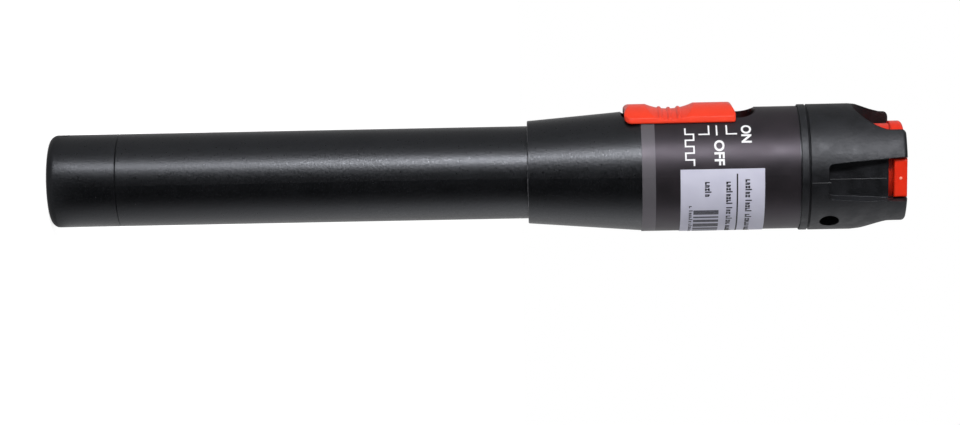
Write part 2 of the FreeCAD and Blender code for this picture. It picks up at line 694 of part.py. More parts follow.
def make_laser_diode():
    base = rod(DIODE_BASE_R, DIODE_Z, DIODE_FACE)
    can = rod(DIODE_CAN_R, DIODE_FACE, DIODE_FACE + DIODE_CAN_HEIGHT)
    leads = []
    for degrees in (0, 90, 180):
        turn = math.radians(degrees)
        leads.append(rod(DIODE_LEAD_R, DIODE_Z - DIODE_LEAD_LENGTH, DIODE_Z,
                         DIODE_LEAD_CIRCLE * math.cos(turn), DIODE_LEAD_CIRCLE * math.sin(turn)))
    return base.fuse([can] + leads).removeSplitter()


def make_lens():
    """Flat towards the diode, bulging towards the fibre."""
    flat = LENS_Z + LENS_THICK - LENS_BULGE
    shoulder = V(LENS_FACE_R, 0, flat)
    ball_r = (LENS_FACE_R ** 2 + LENS_BULGE ** 2) / (2 * LENS_BULGE)
    centre = flat + LENS_BULGE - ball_r
    lean = math.asin(LENS_FACE_R / ball_r) / 2
    middle = V(ball_r * math.sin(lean), 0, centre + ball_r * math.cos(lean))
    top = V(0, 0, flat + LENS_BULGE)
    points = [V(0, 0, LENS_Z), V(LENS_R, 0, LENS_Z), V(LENS_R, 0, flat), shoulder]
    edges = [Part.makeLine(a, b) for a, b in zip(points, points[1:])]
    edges.append(Part.Arc(shoulder, middle, top).toShape())
    edges.append(Part.makeLine(top, points[0]))
    return Part.Face(Part.Wire(edges)).revolve(V(0, 0, 0), UP, 360)


def make_fibre_stub():
    return rod(STUB_R, STUB_Z, STUB_END)


def make_ceramic_sleeve():
    sleeve = tube(SLEEVE_R, FERRULE_R, SLEEVE_Z, SLEEVE_END)
    slit = block(0, SLEEVE_R + OVERCUT, -SLEEVE_SLIT / 2, SLEEVE_SLIT / 2,
                 SLEEVE_Z - OVERCUT, SLEEVE_END + OVERCUT)
    return sleeve.cut(slit)


def make_ferrule_port():
    return turned([
        (CHAMBER_R, PORT_START), (HOLDER_R, PORT_START),
        (HOLDER_R, PORT_START + FLANGE_THICK), (COLLAR_R, PORT_START + FLANGE_THICK),
        (COLLAR_R, PORT_END - SEAM_CHAMFER), (COLLAR_R - SEAM_CHAMFER, PORT_END),
        (PORT_LIP_R, PORT_END), (PORT_LIP_R, PORT_END - PORT_LIP),
        (CHAMBER_R, PORT_END - PORT_LIP)])


# ---------------------------------------------------------------- head
def head_blank(end):
    """Turned form of the head with its prongs' tips at the given height."""
    groove = HEAD_START + COLLAR_LENGTH
    groove_end = groove + COLLAR_GROOVE
    seat = BARREL_BORE_R - FIT
    floor_below = WELL_Z - WELL_FLOOR
    return turned([
        (seat - SPIGOT_SKIRT, SPIGOT_BOTTOM), (seat, SPIGOT_BOTTOM), (seat, HEAD_START),
        (HEAD_R, HEAD_START), (HEAD_R, groove),
        (HEAD_R - COLLAR_GROOVE_DEPTH, (groove + groove_end) / 2), (HEAD_R, groove_end),
        (HEAD_R, HEAD_START + HEAD_STRAIGHT), (TIP_R, HEAD_END - TIP_LENGTH), (TIP_R, end),
        (MOUTH_R, end), (MOUTH_R, MOUTH_Z), (WELL_R, MOUTH_Z), (WELL_R, WELL_Z),
        (COLLAR_R + SEAT, WELL_Z), (COLLAR_R + SEAT, floor_below),
        (HOLDER_R + SEAT, floor_below), (HOLDER_R + SEAT, CORE_BOTTOM),
        (seat - SPIGOT_SKIRT, CORE_BOTTOM)],
        {9: TIP_ROUND, 3: SEAM_CHAMFER})


def window_tool():
    """Arched gap that runs right across the head, so that fingers reach the connector."""
    crown_z = WELL_Z + WINDOW_LIFT + WINDOW_R
    arch = Part.makeCylinder(WINDOW_R, 2 * (HEAD_R + OVERCUT),
                             V(0, -HEAD_R - OVERCUT, crown_z), ALONG_Y)
    legs = block(-WINDOW_R, WINDOW_R, -HEAD_R - OVERCUT, HEAD_R + OVERCUT,
                 crown_z, HEAD_END + OVERCUT)
    return arch.fuse(legs)


def pocket_tool():
    """Flat-floored hollow that widens towards the tip, with its walls splayed outwards."""
    rim = HEAD_R + OVERCUT
    start, end = HEAD_END - POCKET_LENGTH, HEAD_END + OVERCUT

    def section(z, half, flare):
        points = [V(POCKET_FLOOR, -half, z), V(rim, -half - flare, z),
                  V(rim, half + flare, z), V(POCKET_FLOOR, half, z)]
        return Part.makePolygon(points + points[:1])

    tool = Part.makeLoft([section(start, POCKET_START_HALF, POCKET_START_FLARE),
                          section(end, POCKET_END_HALF, POCKET_END_FLARE)], True, True)
    inner = [edge for edge in tool.Edges
             if edge.BoundBox.ZMax < start + SEAT and edge.BoundBox.XLength > OVERCUT]
    return tool.makeFillet(POCKET_CORNER, inner)


def wing_notch():
    half = CAP_WING_HALF + WING_NOTCH_GAP
    return block(WELL_R - OVERCUT, HEAD_R + OVERCUT, -half, half, MOUTH_Z, HEAD_END + OVERCUT)


def radial_rod(radius, r_from, r_to):
    """Rod that points outwards at the fixing screw's place."""
    turn = math.radians(SCREW_AROUND)
    out = V(math.cos(turn), math.sin(turn), 0)
    start = out * r_from + UP * (HEAD_START + SCREW_AT)
    return Part.makeCylinder(radius, r_to - r_from, start, out)


def make_head_shroud():
    far_tip = block(-HEAD_R - OVERCUT, 0, -HEAD_R - OVERCUT, HEAD_R + OVERCUT,
                    HEAD_END - TIP_LENGTH, HEAD_END + OVERCUT)
    head = head_blank(HEAD_END).cut(far_tip)
    head = head.fuse(head_blank(HEAD_END - PRONG_STEP).common(far_tip)).cut(window_tool())
    head = head.cut(radial_rod(SCREW_R + SEAT, HOLDER_R - OVERCUT, SCREW_WELL_FLOOR + OVERCUT))
    head = head.cut(radial_rod(SCREW_WELL_R, SCREW_WELL_FLOOR, HEAD_R + OVERCUT))
    for degrees in (0, 180):
        head = head.cut(around(pocket_tool(), degrees)).cut(around(wing_notch(), degrees))
    return around(head, HEAD_TURN)


def make_head_screw():
    """Grub screw that locks the laser holder in the head, with a hexagon socket."""
    grub = radial_rod(SCREW_R, HOLDER_R + SEAT, SCREW_WELL_FLOOR)
    turn = math.radians(SCREW_AROUND)
    out = V(math.cos(turn), math.sin(turn), 0)
    across = V(-math.sin(turn), math.cos(turn), 0)
    corner = SCREW_SOCKET_ACROSS / math.sqrt(3)
    centre = out * (SCREW_WELL_FLOOR - SCREW_SOCKET_DEPTH) + UP * (HEAD_START + SCREW_AT)
    points = []
    for i in range(6):
        a = math.radians(60 * i)
        points.append(centre + across * (corner * math.cos(a)) + UP * (corner * math.sin(a)))
    socket = rounded_face(points).extrude(out * (SCREW_SOCKET_DEPTH + OVERCUT))
    return around(grub.cut(socket), HEAD_TURN)


def make_dust_cap():
    flange_z = HEAD_END - CAP_FLANGE_THICK
    bottom = WELL_Z + CAP_FLOOR_GAP
    bore = COLLAR_R + CAP_FIT
    body = turned([
        (bore, bottom), (CAP_BODY_R, bottom), (CAP_BODY_R, flange_z), (CAP_FLANGE_R, flange_z),
        (CAP_FLANGE_R, HEAD_END), (0, HEAD_END), (0, PORT_END + GAP), (bore, PORT_END + GAP)],
        {4: CAP_RIM_ROUND})
    wings = block(-CAP_WING_REACH, CAP_WING_REACH, -CAP_WING_HALF, CAP_WING_HALF,
                  flange_z, HEAD_END)
    outer = [edge for edge in wings.Edges
             if abs(edge.CenterOfMass.x) > CAP_WING_REACH - SEAT]
    wings = wings.makeFillet(CAP_WING_ROUND, outer)
    return around(body.fuse(wings).removeSplitter(), HEAD_TURN)


# ---------------------------------------------------------------- the parts
PARTS = {
    "tail_cap": make_tail_cap,
    "tail_cap_o_ring": make_tail_ring,
    "tail_spring": make_tail_spring,
    "battery_tube": make_battery_tube,
    "rear_cell": lambda: make_cell(0),
    "front_cell": lambda: make_cell(1),
    "front_barrel": make_front_barrel,
    "printed_wrap": make_printed_wrap,
    "label_sticker": make_label,
    "thumb_slider": make_thumb_slider,
    "slider_carrier": make_slider_carrier,
    "switch_lever": make_switch_lever,
    "slide_switch": make_slide_switch,
    "switch_terminals": make_switch_terminals,
    "circuit_board": make_circuit_board,
    "driver_chip": make_driver_chip,
    "board_passives": make_board_passives,
    "choke": make_choke,
    "ground_spring": make_ground_spring,
    "contact_holder": make_contact_holder,
    "positive_contact": make_positive_contact,
    "laser_holder": make_laser_holder,
    "laser_diode": make_laser_diode,
    "collimating_lens": make_lens,
    "fibre_stub": make_fibre_stub,
    "ceramic_sleeve": make_ceramic_sleeve,
    "ferrule_port": make_ferrule_port,
    "head_shroud": make_head_shroud,
    "head_set_screw": make_head_screw,
    "dust_cap": make_dust_cap,
}


def main():
    os.makedirs("parts", exist_ok=True)
    for name, make in PARTS.items():
        shape = make()
        shape.exportStep("parts/" + name + ".step")
        box = shape.BoundBox
        print(name, len(shape.Solids), "solids", shape.isValid(), round(shape.Volume, 1), "mm3",
              "z", round(box.ZMin, 2), round(box.ZMax, 2))


main()
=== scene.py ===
"""Looks of the visual fault locator: finishes, print, fine trim, light and camera.

Metres, in the frame of the CAD model: +Z runs up the pen and the thumb slider faces -Y.
Angles round the pen are in degrees about +Z, with 0 towards +X.
"""
import math

import bmesh
import bpy
from mathutils import Matrix, Vector


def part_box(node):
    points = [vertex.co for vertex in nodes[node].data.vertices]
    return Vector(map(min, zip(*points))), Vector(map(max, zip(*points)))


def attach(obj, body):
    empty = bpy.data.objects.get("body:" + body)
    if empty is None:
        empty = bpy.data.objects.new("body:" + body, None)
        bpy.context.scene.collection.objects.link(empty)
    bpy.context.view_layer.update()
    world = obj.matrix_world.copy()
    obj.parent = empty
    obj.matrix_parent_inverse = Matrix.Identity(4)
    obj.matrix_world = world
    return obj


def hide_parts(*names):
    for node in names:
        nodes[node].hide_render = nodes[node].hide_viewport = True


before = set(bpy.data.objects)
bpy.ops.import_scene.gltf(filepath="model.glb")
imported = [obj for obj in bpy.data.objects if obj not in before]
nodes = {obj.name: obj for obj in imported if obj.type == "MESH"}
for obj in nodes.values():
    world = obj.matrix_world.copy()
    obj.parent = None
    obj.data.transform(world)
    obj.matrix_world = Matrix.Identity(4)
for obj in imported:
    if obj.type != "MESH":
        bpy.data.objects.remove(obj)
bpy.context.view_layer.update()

MM = 0.001

# ---------------------------------------------------------------- sizes read from the frame
film_low, film_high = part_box("printed_wrap")
label_low, label_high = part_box("label_sticker")
ring_low, ring_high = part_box("tail_cap_o_ring")
spring_low, spring_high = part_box("tail_spring")
head_low, head_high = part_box("head_shroud")
cell_low, cell_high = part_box("rear_cell")
barrel_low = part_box("front_barrel")[0]
slider_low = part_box("thumb_slider")[0]
tail_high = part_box("tail_cap")[1]
cap_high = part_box("dust_cap")[1]

FILM_R = film_high.y
LABEL_R = label_high.y
HEAD_TURN = 7.5                 # degrees that the head sits round from the slider
CLEAR_BAND = 2.7 * MM           # film without ink at its tail end
PLUG_R = 8.6 * MM               # of the tail cap's screw plug
POCKET_FLOOR = 10.2 * MM        # flat floor of the head's pockets, from the axis
CAP_REACH = 10.4 * MM           # outer face of the dust cap's wings, from the axis
CAP_RIM = 2.7 * MM              # thickness of the dust cap's rim and wings
THREAD_PITCH = 1.0 * MM         # how far the tail cap's joint moves it in a turn

# ---------------------------------------------------------------- camera
CAMERA_AROUND = -7.5
CAMERA_AWAY = 0.618
CAMERA_HEIGHT = 0.1016
CAMERA_LENS = 112.5
CAMERA_SENSOR = 36.0
CAMERA_ROLL = 1.11
AIM_HEIGHT = 0.08825
AIM_ASIDE = 0.0081

# ---------------------------------------------------------------- light
# Softboxes: degrees round and above the pen, distance, width, height and watts.
KEY_LIGHT = (-40, 8, 0.8, 0.11, 1.0, 7.7)
LOW_SIDE_LIGHT = (95, 10, 0.9, 0.8, 1.0, 1.2)
LIGHT_TARGET = 0.09             # height that both face
ROOM_ON_MATT = 0.38             # the world's strength on matt surfaces
# The room that the pen mirrors: each side's direction round Z from the camera, the cosines
# at which it starts and is full, and how bright it is.
ROOM_SIDES = ((-100, 0.15, 0.9, 0.26), (140, 0.0, 1.0, 0.68))
KEY_ON_FLOOR = (-32.5, 0.993, 0.999, 6.2)     # the key light's streak on the floor
FLOOR_GREY = (0.8, 0.8, 0.8, 1)
FLOOR_LIFT = 0.76               # added for the camera, so that the lit floor is white
FLOOR_RADIUS = 12.0
FOOT_NEAR = 0.016               # the floor mirrored round the pen's foot is even within this
FOOT_FAR = 0.03                 # and is the room's from here on
FOOT_GLOW = 0.2

# ---------------------------------------------------------------- print
INK = 0.025 * MM                # how far the ink stands on its film
INK_SUNK = 0.01 * MM
STEP_ALONG = 0.4 * MM           # longest straight stretch of a curved print
LETTER_HEIGHT = 2.1 * MM
STROKE = 0.32 * MM
GLYPH_WIDTH = 0.5 * MM          # the label's small print
GLYPH_PITCH = 0.66 * MM
# Strokes of each shape in it: left and right in widths, bottom and top in heights.
GLYPHS = (((0.05, 0.6, 0, 1),),
          ((0, 0.45, 0, 0.72), (0.45, 0.6, 0.48, 0.72), (0.6, 1, 0, 0.62)),
          ((0, 1.1, 0, 0.26), (0, 0.45, 0.26, 0.72)),
          ((0, 1.1, 0.46, 0.72), (0, 1.1, 0, 0.24), (0.3, 0.75, 0.24, 0.46)))
GLYPH_ORDER = (2, 1, 3, 0, 1, 3, 2, 0, 3, 1, 2)
MARKS_MIDDLE = slider_low.z + 18.55 * MM      # the middle switch position
MARKS_TURN = -51.5


def srgb(red, green, blue):
    """Linear colour, with full alpha, from one written as 0 to 255."""
    linear = []
    for value in (red, green, blue):
        share = value / 255
        linear.append(share / 12.92 if share <= 0.04045 else ((share + 0.055) / 1.055) ** 2.4)
    return (*linear, 1.0)


def outward(degrees, up=0.0):
    """Unit vector round the pen, raised by up degrees."""
    turn, rise = math.radians(degrees), math.radians(up)
    return Vector((math.cos(turn) * math.cos(rise), math.sin(turn) * math.cos(rise),
                   math.sin(rise)))


# ---------------------------------------------------------------- shader nodes
def feed(tree, socket, value):
    """Sets a socket to a value, or links another node's output to it."""
    if isinstance(value, bpy.types.NodeSocket):
        tree.links.new(value, socket)
    else:
        socket.default_value = value


def new_node(tree, kind, **inputs):
    """Shader node whose inputs, by name, are fed with values or outputs."""
    node = tree.nodes.new(kind)
    for name, value in inputs.items():
        feed(tree, node.inputs[name.replace("_", " ")], value)
    return node


def arithmetic(tree, operation, *values):
    node = tree.nodes.new("ShaderNodeMath")
    node.operation = operation
    for value, socket in zip(values, node.inputs):
        feed(tree, socket, value)
    return node.outputs["Value"]


def vector_math(tree, operation, *vectors):
    node = tree.nodes.new("ShaderNodeVectorMath")
    node.operation = operation
    for vector, socket in zip(vectors, node.inputs):
        feed(tree, socket, vector)
    return node


def mapped(tree, value, from_low, from_high, to_low, to_high):
    """Value carried in a straight line from one range to another, and held at its ends."""
    node = new_node(tree, "ShaderNodeMapRange", Value=value, From_Min=from_low,
                    From_Max=from_high, To_Min=to_low, To_Max=to_high)
    return node.outputs["Result"]


def between(tree, share, first, second):
    """Number from first, where share is 0, to second, where it is 1."""
    node = tree.nodes.new("ShaderNodeMix")
    for value, socket in ((share, 0), (first, 2), (second, 3)):
        feed(tree, node.inputs[socket], value)
    return node.outputs[0]


# ---------------------------------------------------------------- finishes
class Finish:
    """One node material: a Principled shader and what feeds its sockets."""

    def __init__(self, name, colour, roughness, **constants):
        self.material = bpy.data.materials.new(name + "_finish")
        self.material.use_nodes = True
        self.tree = self.material.node_tree
        self.shader = self.tree.nodes["Principled BSDF"]
        self.shader.inputs["Base Color"].default_value = colour
        self.shader.inputs["Roughness"].default_value = roughness
        for socket, value in constants.items():
            self.shader.inputs[socket.replace("_", " ")].default_value = value
        self.place = self.tree.nodes.new("ShaderNodeTexCoord").outputs["Object"]
        self.material.diffuse_color = colour
        self.bumps = None

    def stretch(self, x, y, z):
        """Coordinates multiplied along each axis, for a brushed or drawn grain."""
        node = new_node(self.tree, "ShaderNodeMapping", Scale=(x, y, z), Vector=self.place)
        return node.outputs["Vector"]

    def noise(self, size, detail=2.0, place=None):
        """Cloudy field whose blobs are about size metres across."""
        node = new_node(self.tree, "ShaderNodeTexNoise", Scale=1 / size, Detail=detail,
                        Vector=place or self.place)
        return node.outputs["Fac"]

    def glint_specks(self, size, share):
        """1 inside a few small dots, one in some cells of the given size, 0 elsewhere: the mask of
        painted glint specks.
        """
        node = new_node(self.tree, "ShaderNodeTexVoronoi", Scale=1 / size, Vector=self.place)
        return self.spread(node.outputs["Distance"], share, share * 0.6, 0, 1)

    def spread(self, value, from_low, from_high, to_low, to_high):
        return mapped(self.tree, value, from_low, from_high, to_low, to_high)

    def height(self):
        """Place along the pen, in metres from its foot."""
        return new_node(self.tree, "ShaderNodeSeparateXYZ", Vector=self.place).outputs["Z"]

    def mixed(self, share, first, second):
        """Colour from first to second; each is a colour or another node's output."""
        node = self.tree.nodes.new("ShaderNodeMix")
        node.data_type = "RGBA"
        for value, socket in ((share, 0), (first, 6), (second, 7)):
            feed(self.tree, node.inputs[socket], value)
        return node.outputs[2]

    def math(self, operation, *values):
        return arithmetic(self.tree, operation, *values)

    def colour(self, source):
        feed(self.tree, self.shader.inputs["Base Color"], source)

    def roughness(self, field, low, high):
        satin = self.spread(field, 0.3, 0.7, low, high)
        feed(self.tree, self.shader.inputs["Roughness"], satin)

    def matt_above(self, height, roughness):
        """Makes the skin at least this rough above the given height."""
        socket = self.shader.inputs["Roughness"]
        satin = socket.links[0].from_socket
        matt = self.spread(self.height(), height - 0.15 * MM, height, 0, roughness)
        feed(self.tree, socket, self.math("MAXIMUM", satin, matt))

    def rounded(self, radius):
        """Softens the shading of sharp edges."""
        node = new_node(self.tree, "ShaderNodeBevel", Radius=radius)
        node.samples = 4
        self.bumps = node.outputs["Normal"]
        feed(self.tree, self.shader.inputs["Normal"], self.bumps)

    def bump(self, field, depth):
        """Height field of the given depth in metres, over the bumps made before it."""
        node = new_node(self.tree, "ShaderNodeBump", Distance=depth, Strength=1.0, Height=field)
        if self.bumps is not None:
            feed(self.tree, node.inputs["Normal"], self.bumps)
        self.bumps = node.outputs["Normal"]
        feed(self.tree, self.shader.inputs["Normal"], self.bumps)


def black_anodised():
    """Sandblasted aluminium, dyed black, with a pale worn rim where two tubes meet and pale specks
    of painted glint.
    """
    finish = Finish("black_anodised", srgb(14, 15, 17), 0.36, IOR=1.65,
                    Specular_Tint=(0.95, 0.98, 1.07, 1))
    grain = finish.noise(0.35 * MM, 3)
    cloud = finish.noise(6 * MM, 2)
    body = finish.mixed(finish.spread(cloud, 0.35, 0.65, 0, 1), srgb(7, 8, 10), srgb(12, 13, 15))
    rim = finish.math("ABSOLUTE", finish.math("SUBTRACT", finish.height(), barrel_low.z))
    worn = finish.math("MULTIPLY", finish.spread(rim, 0.06 * MM, 0.14 * MM, 1, 0),
                       finish.spread(finish.noise(1.2 * MM, 3), 0.48, 0.62, 0, 0.8))
    body = finish.mixed(worn, body, srgb(96, 96, 100))
    # The pale specks are painted glints, the sparkle of the blasted skin painted into its colour.
    finish.colour(finish.mixed(finish.glint_specks(2.6 * MM, 0.025), body, srgb(104, 104, 108)))
    finish.roughness(grain, 0.27, 0.42)
    finish.bump(finish.noise(0.6 * MM, 2), 0.017 * MM)
    finish.bump(grain, 0.012 * MM)
    return finish.material


def printed_film():
    """Dark film with a clear, lighter band at its tail end."""
    finish = Finish("printed_film", srgb(31, 29, 31), 0.42, IOR=1.51,
                    Specular_Tint=(1.04, 0.93, 1.1, 1))
    fine = finish.noise(0.3 * MM, 2)
    cloud = finish.noise(5 * MM, 2)
    dark = finish.mixed(finish.spread(cloud, 0.35, 0.65, 0, 1), srgb(29, 27, 29), srgb(35, 31, 34))
    edge = film_low.z + CLEAR_BAND
    inked = finish.spread(finish.height(), edge, edge + 0.05 * MM, 0, 1)
    finish.colour(finish.mixed(inked, srgb(86, 84, 88), dark))
    finish.roughness(cloud, 0.38, 0.46)
    finish.bump(fine, 0.007 * MM)
    return finish.material


def label_stock():
    finish = Finish("label_stock", srgb(196, 196, 214), 0.5)
    fibre = finish.noise(0.25 * MM, 3)
    cloud = finish.noise(4 * MM, 2)
    finish.colour(finish.mixed(cloud, srgb(190, 190, 209), srgb(203, 203, 219)))
    finish.roughness(fibre, 0.42, 0.58)
    finish.bump(fibre, 0.004 * MM)
    return finish.material


def orange_skin(name, low, high):
    """Moulded orange-red plastic with a satin skin, its colour clouded from low to high."""
    finish = Finish(name, high, 0.34, IOR=1.46)
    skin = finish.noise(0.5 * MM, 3)
    cloud = finish.noise(4 * MM, 2)
    finish.colour(finish.mixed(cloud, low, high))
    finish.roughness(skin, 0.28, 0.4)
    finish.rounded(0.4 * MM)
    finish.bump(skin, 0.006 * MM)
    return finish


def orange_plastic():
    return orange_skin("orange_plastic", srgb(234, 52, 24), srgb(246, 64, 32)).material


def cap_plastic():
    """The dust cap's deeper colour, with a matt end face."""
    finish = orange_skin("cap_plastic", srgb(222, 36, 6), srgb(234, 46, 12))
    finish.matt_above(cap_high.z - 0.1 * MM, 0.74)
    return finish.material


def black_plastic():
    """Moulded shroud: a matt skin, slightly mottled, with pale specks of painted glint."""
    finish = Finish("black_plastic", srgb(14, 15, 17), 0.5, IOR=1.56,
                    Specular_Tint=(0.96, 0.98, 1.06, 1))
    skin = finish.noise(0.6 * MM, 3)
    cloud = finish.noise(2.4 * MM, 3)
    mottle = finish.mixed(finish.spread(cloud, 0.35, 0.65, 0, 1), srgb(11, 12, 14), srgb(17, 18, 21))
    # The pale specks are painted glints on the skin.
    finish.colour(finish.mixed(finish.glint_specks(1.8 * MM, 0.03), mottle, srgb(84, 86, 88)))
    finish.roughness(cloud, 0.43, 0.57)
    finish.rounded(0.2 * MM)
    finish.bump(cloud, 0.02 * MM)
    finish.bump(skin, 0.034 * MM)
    return finish.material


def seal_rubber():
    finish = Finish("seal_rubber", srgb(24, 24, 25), 0.6)
    dust = finish.noise(0.4 * MM, 3)
    finish.colour(finish.mixed(dust, srgb(20, 20, 21), srgb(38, 38, 39)))
    finish.roughness(dust, 0.5, 0.7)
    finish.bump(dust, 0.01 * MM)
    return finish.material


def worked_metal(name, dark, bright, low, high, stretch=(1, 1, 12)):
    """Bare or plated metal with tool lines across one axis."""
    finish = Finish(name, bright, low, Metallic=1.0)
    lines = finish.noise(0.6 * MM, 3, finish.stretch(*stretch))
    cloud = finish.noise(3 * MM, 2)
    finish.colour(finish.mixed(cloud, dark, bright))
    finish.roughness(lines, low, high)
    finish.bump(lines, 0.004 * MM)
    return finish.material


def spring_steel():
    return worked_metal("spring_steel", srgb(150, 150, 152), srgb(196, 196, 200), 0.2, 0.36)


def switch_shell():
    return worked_metal("switch_shell", srgb(168, 168, 170), srgb(200, 200, 203), 0.28, 0.45)


def tinned_pins():
    return worked_metal("tinned_pins", srgb(176, 176, 178), srgb(212, 212, 214), 0.25, 0.4)


def contact_bronze():
    return worked_metal("contact_bronze", srgb(176, 128, 74), srgb(206, 160, 100), 0.24, 0.4)


def turned_brass():
    return worked_metal("turned_brass", srgb(170, 140, 78), srgb(206, 178, 108), 0.22, 0.36)


def diode_can():
    return worked_metal("diode_can", srgb(190, 170, 120), srgb(222, 205, 160), 0.18, 0.3)


def port_nickel():
    return worked_metal("port_nickel", srgb(178, 178, 180), srgb(214, 214, 216), 0.16, 0.3)


def screw_steel():
    return worked_metal("screw_steel", srgb(44, 44, 46), srgb(76, 76, 80), 0.3, 0.46)


def cell_jacket():
    """Alkaline cell: a plain two-tone jacket between bare steel ends."""
    finish = Finish("cell_jacket", srgb(40, 62, 104), 0.32)
    length = cell_high.z - cell_low.z
    wraps = finish.math("MODULO", finish.math("SUBTRACT", finish.height(), cell_low.z), length)
    share = finish.math("DIVIDE", wraps, length)
    grey_end = finish.spread(share, 0.70, 0.705, 0, 1)
    wear = finish.noise(2 * MM, 3)
    blue = finish.mixed(wear, srgb(36, 56, 96), srgb(44, 66, 110))
    band = finish.mixed(wear, srgb(170, 172, 176), srgb(190, 192, 196))
    jacket = finish.mixed(grey_end, blue, band)
    foot = finish.spread(share, 0.012, 0.010, 0, 1)
    crown = finish.spread(share, 0.972, 0.974, 0, 1)
    bare = finish.math("MAXIMUM", foot, crown)
    finish.colour(finish.mixed(bare, jacket, srgb(186, 186, 190)))
    feed(finish.tree, finish.shader.inputs["Metallic"], bare)
    finish.roughness(wear, 0.26, 0.4)
    finish.bump(finish.noise(0.5 * MM, 2), 0.004 * MM)
    return finish.material


def moulded(name, dark, pale, low, high, grain=0.4):
    """Small moulded or sintered piece with a fine skin."""
    finish = Finish(name, pale, low)
    skin = finish.noise(grain * MM, 3)
    cloud = finish.noise(6 * grain * MM, 2)
    finish.colour(finish.mixed(cloud, dark, pale))
    finish.roughness(skin, low, high)
    finish.bump(skin, 0.006 * MM)
    return finish.material


def switch_black():
    return moulded("switch_black", srgb(26, 26, 28), srgb(40, 40, 43), 0.4, 0.55)


def chip_body():
    return moulded("chip_body", srgb(30, 30, 32), srgb(44, 44, 46), 0.45, 0.6, 0.2)


def chip_ceramic():
    return moulded("chip_ceramic", srgb(150, 122, 88), srgb(178, 150, 112), 0.35, 0.5, 0.2)


def choke_ferrite():
    return moulded("choke_ferrite", srgb(48, 47, 48), srgb(66, 65, 66), 0.5, 0.68, 0.3)


def holder_plastic():
    return moulded("holder_plastic", srgb(34, 34, 36), srgb(50, 50, 53), 0.42, 0.56)


def zirconia():
    return moulded("zirconia", srgb(228, 226, 220), srgb(240, 238, 233), 0.18, 0.28, 0.5)


def board_laminate():
    """Green solder mask over a glass weave."""
    finish = Finish("board_laminate", srgb(30, 92, 52), 0.32)
    weave = finish.noise(0.5 * MM, 2, finish.stretch(3, 1, 1))
    cloud = finish.noise(3 * MM, 2)
    finish.colour(finish.mixed(cloud, srgb(24, 80, 44), srgb(38, 104, 60)))
    finish.roughness(weave, 0.26, 0.4)
    finish.bump(weave, 0.008 * MM)
    return finish.material


def lens_glass():
    finish = Finish("lens_glass", srgb(238, 242, 244), 0.03, IOR=1.52, Transmission_Weight=1.0)
    haze = finish.noise(2 * MM, 2)
    finish.roughness(haze, 0.02, 0.07)
    return finish.material


def white_ink():
    finish = Finish("white_ink", srgb(236, 236, 238), 0.5)
    skin = finish.noise(0.2 * MM, 3)
    finish.colour(finish.mixed(skin, srgb(220, 220, 224), srgb(244, 244, 246)))
    finish.roughness(skin, 0.42, 0.6)
    return finish.material


def toner(name, dark, pale):
    """Thermal print on the label, slightly uneven."""
    finish = Finish(name, dark, 0.55)
    patch = finish.noise(0.3 * MM, 4)
    finish.colour(finish.mixed(finish.spread(patch, 0.4, 0.7, 0, 1), dark, pale))
    finish.roughness(patch, 0.48, 0.62)
    return finish.material


def paint_nodes():
    """Gives each CAD node the finish of the record's slot that it carries."""
    makers = {
        "black_anodised": black_anodised, "printed_film": printed_film,
        "label_stock": label_stock, "orange_plastic": orange_plastic,
        "black_plastic": black_plastic, "seal_rubber": seal_rubber,
        "spring_steel": spring_steel, "cell_jacket": cell_jacket,
        "switch_black": switch_black, "switch_shell": switch_shell,
        "tinned_pins": tinned_pins, "board_laminate": board_laminate,
        "chip_body": chip_body, "chip_ceramic": chip_ceramic,
        "choke_ferrite": choke_ferrite, "contact_bronze": contact_bronze,
        "holder_plastic": holder_plastic, "turned_brass": turned_brass,
        "diode_can": diode_can, "lens_glass": lens_glass, "zirconia": zirconia,
        "port_nickel": port_nickel, "screw_steel": screw_steel,
    }
    made = {}
    for node in nodes.values():
        for slot in node.material_slots:
            name = slot.material.name
            if name not in made:
                made[name] = makers[name]()
            slot.material = made[name]
    nodes["dust_cap"].material_slots[0].material = cap_plastic()
    return made


# ---------------------------------------------------------------- pieces made here
def add_piece(name, mesh, body, material):
    piece = bpy.data.objects.new(name, mesh)
    bpy.context.scene.collection.objects.link(piece)
    mesh.materials.append(material)
    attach(piece, body)
    return piece


def wrapped(work, name, radius, turn, z):
    """Mesh of flat work bent round the pen: X runs round it, Y up it and Z out of it."""
    for vertex in work.verts:
        along, up, out = vertex.co
        angle = math.radians(turn) + along / radius
        vertex.co = Vector(((radius + out) * math.cos(angle), (radius + out) * math.sin(angle),
                            z + up))
    bmesh.ops.recalc_face_normals(work, faces=work.faces)
    mesh = bpy.data.meshes.new(name)
    work.to_mesh(mesh)
    work.free()
    return mesh


def add_bar(work, left, right, low, high):
    """Thin closed plate in flat work, cut along X so that it bends evenly."""
    steps = max(1, math.ceil((right - left) / STEP_ALONG))
    rings = []
    for i in range(steps + 1):
        x = left + (right - left) * i / steps
        rings.append([work.verts.new((x, y, z)) for y, z in
                      ((low, -INK_SUNK), (high, -INK_SUNK), (high, INK), (low, INK))])
    for before, after in zip(rings, rings[1:]):
        for k in range(4):
            work.faces.new((before[k], before[(k + 1) % 4], after[(k + 1) % 4], after[k]))
    work.faces.new(rings[0])
    work.faces.new(list(reversed(rings[-1])))


def bars_mesh(name, bars, radius, turn, z):
    """Bars as (left, right, low, high) in metres from the place at turn and z."""
    work = bmesh.new()
    for bar in bars:
        add_bar(work, *bar)
    return wrapped(work, name, radius, turn, z)


